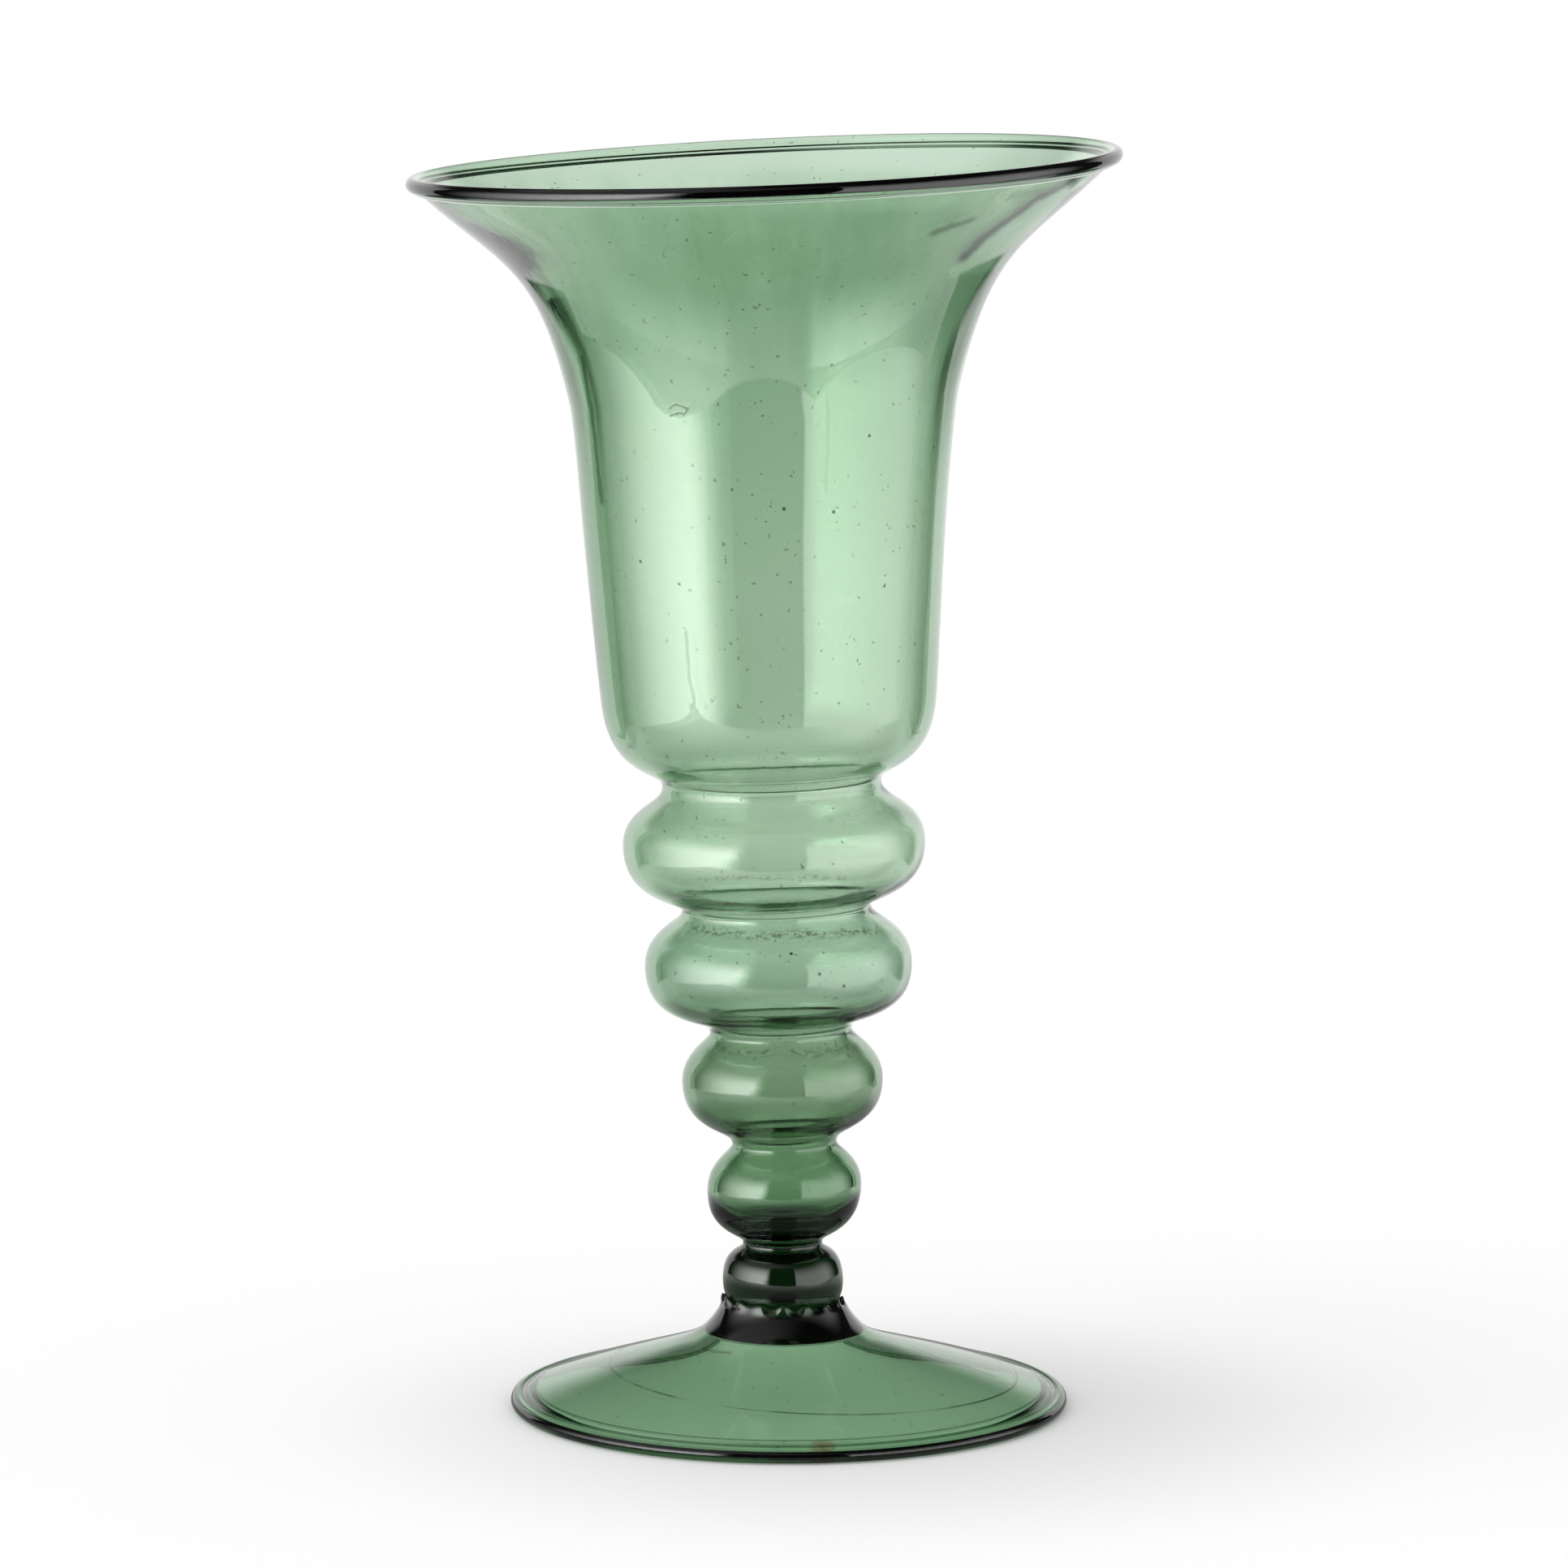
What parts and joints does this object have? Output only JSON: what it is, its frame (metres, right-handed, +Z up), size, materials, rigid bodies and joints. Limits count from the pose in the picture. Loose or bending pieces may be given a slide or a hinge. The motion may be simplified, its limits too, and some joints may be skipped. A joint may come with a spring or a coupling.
{
  "type": "footed glass flower vase",
  "caption": "Footed vase of blown green glass: a flared bowl with a folded lip on a stem of stacked hollow knops, with a crimped collar and a spreading foot.",
  "frame": {"origin": "on the plane that the vase stands on, under the middle of the lip", "axes": "+Z up along the vase; the stem leans from the foot towards -X, and the lip dips towards -X"},
  "size_m": [0.1674, 0.1674, 0.2996],
  "materials": {
    "vessel_glass": "clear gloss, hand blown",
    "foot_glass": "clear gloss, hand blown"
  },
  "bodies": {
    "root": {"lip_fold": "vessel_glass", "bowl": "vessel_glass", "knop_1": "vessel_glass", "knop_2": "vessel_glass", "knop_3": "vessel_glass", "knop_4": "vessel_glass", "knop_5": "vessel_glass", "foot_collar": "foot_glass", "foot": "foot_glass", "foot_fold": "foot_glass"}
  },
  "joints": []
}
